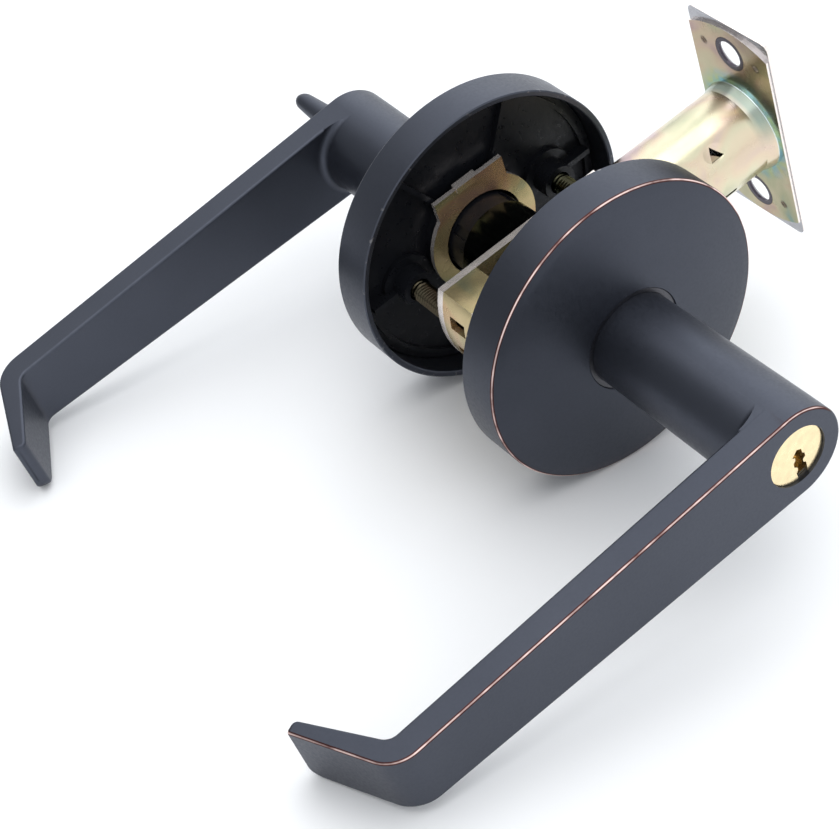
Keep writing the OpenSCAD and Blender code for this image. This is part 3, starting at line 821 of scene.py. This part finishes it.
def rose(side):
    """Round cover, a little domed, with a hole for the neck and its open side to the door."""
    sign = SIDES[side]
    low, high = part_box(f"{side}_rose")
    rim = min(abs(low.y), abs(high.y))
    radius = high.x
    hole = 11.9 * MM
    hole_edge = 0.2 * MM
    wall = 1.4 * MM
    face_t = 1.6 * MM
    edge = 0.6 * MM
    chamfer = 0.25 * MM
    inner_chamfer = 0.8 * MM
    front = rim + 10 * MM
    dome = 3.5 * MM
    dome_r = (radius * radius + dome * dome) / (2 * dome)

    def face_at(r):
        return front + dome - dome_r + math.sqrt(dome_r * dome_r - r * r)

    face_steps = 20
    edge_steps = 5
    inner_r = radius - wall
    inner_run = inner_r - inner_chamfer - hole
    outer_run = radius - edge - hole - hole_edge
    inner = [hole + inner_run * i / face_steps for i in range(face_steps + 1)]
    outer = [radius - edge - outer_run * i / face_steps for i in range(1, face_steps + 1)]
    profile = [(r, face_at(r) - face_t) for r in inner]
    profile += [(inner_r, face_at(inner_r) - face_t - inner_chamfer), (inner_r, rim + chamfer)]
    profile += [(inner_r + chamfer, rim), (radius - chamfer, rim), (radius, rim + chamfer)]
    for i in range(edge_steps + 1):
        angle = QUARTER * (1 - i / edge_steps)
        profile.append((radius - edge + edge * math.sin(angle), front - edge + edge * math.cos(angle)))
    profile += [(r, face_at(r)) for r in outer] + [(hole, face_at(hole) - hole_edge)]
    piece = spun(f"{side}_rose_shape", [(r, sign * y) for r, y in profile], steps=192)
    places = [vertex.co for vertex in piece.data.vertices]
    mark(piece, "wear", [
        edge_share(front - abs(place.y), radius - math.hypot(place.x, place.z), edge) for place in places
    ])
    mark(piece, "chips", [1 if abs(place.y) < rim + chamfer + 0.05 * MM else 0 for place in places])
    shade(piece)
    # The outside rose takes the darker copy of the coat, which is painted shade
    look = "dark_finish_shaded_rose" if side == "outside" else "dark_finish"
    finish_piece(piece, "lock_body", "dark_finish", (f"{side}_rose",), look)


# ---------- small parts ----------

def thumb_turn():
    """Oval bar that thins to a round tip, with a round journal inside the lever."""
    low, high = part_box("thumb_turn")
    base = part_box("inside_lever")[1].y
    tip = high.y
    journal_r = 3.9 * MM
    base_half_x, base_half_z = 3.7 * MM, 3.15 * MM
    tip_half_x, tip_half_z = 2 * MM, 1.6 * MM
    round_len = 3 * MM
    smallest = 0.02
    steps = 10
    stations = [low.y, base - 0.1 * MM, base + 0.1 * MM, base + 0.4 * MM]
    stations += [base + (tip - base - round_len) * i / steps for i in range(1, steps + 1)]
    stations += [tip - round_len * (1 - math.sin(i / steps * QUARTER)) for i in range(1, steps + 1)]
    rings = []
    for y in stations:
        if y < base:
            half_x = half_z = journal_r
        else:
            share = (y - base) / (tip - base)
            half_x = base_half_x + (tip_half_x - base_half_x) * share
            half_z = base_half_z + (tip_half_z - base_half_z) * share
        near_tip = tip - y
        if near_tip < round_len:
            drawn_in = math.sqrt(max(1 - (1 - near_tip / round_len) ** 2, smallest ** 2))
            half_x *= drawn_in
            half_z *= drawn_in
        rings.append(oval(y, half_x, half_z, 48))
    piece = shade(from_rings("thumb_turn_shape", rings), 40)
    finish_piece(piece, "turn_piece", "dark_finish", ("thumb_turn",))


def screw(side):
    """One through bolt: rolled thread, plain shank and a pan head with a cross recess."""
    low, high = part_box("through_bolts")
    head_r = 4.4 * MM
    x = side * (high.x - head_r)
    tip, top = low.y, high.y
    seat = top - 1.3 * MM
    shank_r = 2.45 * MM
    thread_r = 2.48 * MM
    root_r = 2.1 * MM
    pitch = 0.8 * MM
    thread_end = seat - 6 * MM
    run_out = 1.5 * pitch
    crest_sharpness = 2.6
    steps = 24
    rows_a_turn = 8
    row_count = int((thread_end - tip) / (pitch / rows_a_turn))
    rings = []
    for row in range(row_count + 1):
        y = tip + row * pitch / rows_a_turn
        fade = clamp(min((y - tip) / run_out, (thread_end - y) / run_out))
        ring = []
        for i in range(steps):
            turn = 2 * math.pi * i / steps
            phase = (y / pitch - i / steps) % 1
            height = max(0, 1 - abs(phase - 0.5) * crest_sharpness)
            radius = root_r + (thread_r - root_r) * height * fade
            ring.append(Vector((x + radius * math.cos(turn), y, radius * math.sin(turn))))
        rings.append(ring)
    shank_and_head = [
        (2.3 * MM, thread_end + 0.3 * MM), (shank_r, thread_end + 1 * MM), (shank_r, seat),
        (4.3 * MM, seat), (head_r, seat + 0.3 * MM), (4.1 * MM, seat + 0.9 * MM),
        (2.8 * MM, seat + 1.25 * MM), (0.6 * MM, top),
    ]
    rings += [oval(y, radius, radius, steps, x) for radius, y in shank_and_head]
    piece = from_rings(f"through_bolt_{'latch' if side > 0 else 'back'}", rings)
    slot_half_l = 2.4 * MM
    slot_half_w = 0.45 * MM
    slot_floor = seat + 0.6 * MM
    for half_x, half_z in ((slot_half_l, slot_half_w), (slot_half_w, slot_half_l)):
        cut(piece, block("recess", (x - half_x, slot_floor, -half_z), (x + half_x, top + PAST, half_z)))
    shade(piece, 40)
    finish_piece(piece, "lock_body", "dark_zinc", ("through_bolts",))


def crimp_flaps():
    """The cut metal left bent inwards in both pierced crimps of the latch tube."""
    hinge_r = 10.3 * MM
    bent_r = 9.3 * MM
    thick = 0.25 * MM
    first_crimp = 48
    corners = (
        (42.3 * MM, -1.5 * MM, hinge_r), (44.6 * MM, -1.45 * MM, hinge_r),
        (44 * MM, -0.1 * MM, bent_r), (43.1 * MM, 0.3 * MM, bent_r),
    )
    for number, turn in enumerate((first_crimp, first_crimp + 180), 1):
        turned = Matrix.Rotation(math.radians(turn), 3, "X")
        rings = [
            [turned @ Vector((x, y, radius - drop)) for x, y, radius in corners] for drop in (0, thick)
        ]
        piece = shade(from_rings(f"crimp_flap_{number}", rings))
        finish_piece(piece, "lock_body", "yellow_zinc", look="yellow_zinc_fold")


# ---------- springs ----------

def return_springs():
    """Springs of two turns round the hubs, which hold the levers up."""
    for side, sign in SIDES.items():
        low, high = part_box(f"{side}_return_spring")
        start = min(abs(low.y), abs(high.y))
        piece = coil(
            f"{side}_return_spring_shape", radius=11 * MM, length=3.5 * MM, turns=2, wire_r=0.6 * MM,
            start=Vector((0, start, 0)), axis="Y", turn_steps=64,
        )
        if sign < 0:
            piece.data.transform(Matrix.Scale(-1, 4, (0, 1, 0)))
            piece.data.flip_normals()
        finish_piece(piece, "lock_body", "spring_steel", (f"{side}_return_spring",))


def slide_spring(name, node, joint, y=0, z=0, **sizes):
    """A spring along X in place of a node's, at its full length. The joint is not used."""
    low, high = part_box(node)
    length = high.x - low.x
    piece = coil(name, length=length, start=Vector((low.x, y, z)), axis="X", **sizes)
    finish_piece(piece, "lock_body", "spring_steel", (node,))
    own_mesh(piece)


def slide_springs():
    """The springs that push the retractor, the bolt and the deadlatch plunger out."""
    for name, z in (("lower", -7.3 * MM), ("upper", 7.3 * MM)):
        slide_spring(
            f"retractor_spring_{name}", "retractor_springs", "retractor_slide", z=z,
            radius=1.1 * MM, turns=22, wire_r=0.25 * MM, turn_steps=20, sides=8,
        )
    slide_spring(
        "bolt_spring_shape", "bolt_spring", "latch_bolt_slide",
        radius=5.5 * MM, turns=5, wire_r=0.35 * MM, turn_steps=40,
    )
    low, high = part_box("plunger_spring")
    slide_spring(
        "plunger_spring_shape", "plunger_spring", "deadlatch_slide", y=(low.y + high.y) / 2,
        radius=0.7 * MM, turns=14, wire_r=0.2 * MM, turn_steps=20, sides=8,
    )


def paint_frame():
    """Gives every CAD node its look, and its edges a small round."""
    for row in frame["record"]["subparts"]:
        name = row["node"]
        piece = frame["nodes"][name]
        paint(piece, NODE_LOOKS.get(name, row["material_slot"]))
        shade(piece, 28)
        edge = piece.modifiers.new("edge", "BEVEL")
        edge.width = 0.12 * MM
        edge.segments = 2
        edge.limit_method = "ANGLE"
        edge.angle_limit = math.radians(35)
        edge.harden_normals = True


# ---------- room ----------

def floor():
    """The surface the lockset lies on: tilted under both roses and the levers' tips, level beyond."""
    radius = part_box("outside_rose")[1].x
    gap = 0.3 * MM
    tip = Vector((-108.5 * MM, -11.5 * MM))
    tilt = math.asin(radius / tip.length) - math.atan2(-tip.y, -tip.x)
    slope = math.tan(tilt)
    left = tip.x - 6 * MM
    right = 80 * MM
    bend = 40 * MM
    reach = 6

    def height(x):
        """Straight between left and right, then a bend into the level."""
        nearest = max(left, min(right, x))
        past = min(abs(x - nearest), bend)
        ease = slope * (past - past * past / (2 * bend))
        return -(radius + gap) / math.cos(tilt) - slope * nearest + math.copysign(ease, nearest - x)

    bend_steps = 10
    steps = [bend * i / bend_steps for i in range(bend_steps + 1)]
    left_bend = [left - step for step in reversed(steps)]
    right_bend = [right + step for step in steps]
    mesh = bpy.data.meshes.new("floor")
    bm = bmesh.new()
    stations = [-reach, *left_bend, *right_bend, reach]
    rows = [[bm.verts.new((x, y, height(x))) for y in (-reach, reach)] for x in stations]
    for (a, b), (c, d) in zip(rows, rows[1:]):
        bm.faces.new((a, c, d, b)).smooth = True
    bm.to_mesh(mesh)
    bm.free()
    piece = new_piece("floor", mesh)
    look = Look("floor", metallic=0)
    look.set("Base Color", (0.94, 0.945, 0.955, 1))
    look.set("Roughness", 0.6)
    piece.data.materials.append(look.material)


def surroundings():
    """Dim light from everywhere, brighter from beyond the latch and from the keyed side."""
    world = bpy.data.worlds.new("studio")
    bpy.context.scene.world = world
    world.use_nodes = True
    tree = world.node_tree
    direction = tree.nodes.new("ShaderNodeTexCoord").outputs["Generated"]
    strength = 0.38
    beyond_latch = ((0.75, 0.5, 0.43), 4.5, 2.0)
    keyed_side = ((0.1, -0.9, 0.4), 1.5, 0.9)
    for towards, narrowness, brightness in (beyond_latch, keyed_side):
        facing = facing_node(tree, direction, Vector(towards).normalized())
        lobe = math_node(tree, "POWER", math_node(tree, "MAXIMUM", facing, 0), narrowness)
        strength = math_node(tree, "ADD", strength, math_node(tree, "MULTIPLY", lobe, brightness))
    background = tree.nodes["Background"]
    background.inputs["Color"].default_value = (0.95, 0.975, 1, 1)
    tree.links.new(strength, background.inputs["Strength"])


def overhead_light():
    """A wide square light above the lockset."""
    data = bpy.data.lights.new("overhead", "AREA")
    data.shape = "SQUARE"
    data.size = 2.2
    data.energy = 19.5
    lamp = bpy.data.objects.new("overhead", data)
    lamp.location = (0.1, 0.1, 2)
    lamp.rotation_euler = (-lamp.location).to_track_quat("-Z", "Y").to_euler()
    bpy.context.scene.collection.objects.link(lamp)


def camera():
    """The viewpoint: above, outside and behind the levers' tips."""
    data = bpy.data.cameras.new("camera")
    data.sensor_width = 36
    data.lens = 101.82
    data.clip_start = 0.01
    data.shift_x = -0.0076
    data.shift_y = 0.0050
    view = bpy.data.objects.new("camera", data)
    view.location = Vector((-168.354, -329.805, 361.529)) * MM
    view.rotation_euler = [math.radians(turn) for turn in (41.2942, 14.9605, -37.8508)]
    bpy.context.scene.collection.objects.link(view)
    bpy.context.scene.camera = view


paint_frame()
for lever_side in SIDES:
    lever(lever_side)
    rose(lever_side)
thumb_turn()
crimp_flaps()
for bolt_side in (-1, 1):
    screw(bolt_side)
return_springs()
slide_springs()
floor()
surroundings()
overhead_light()
camera()
bpy.context.scene.view_settings.view_transform = "Standard"
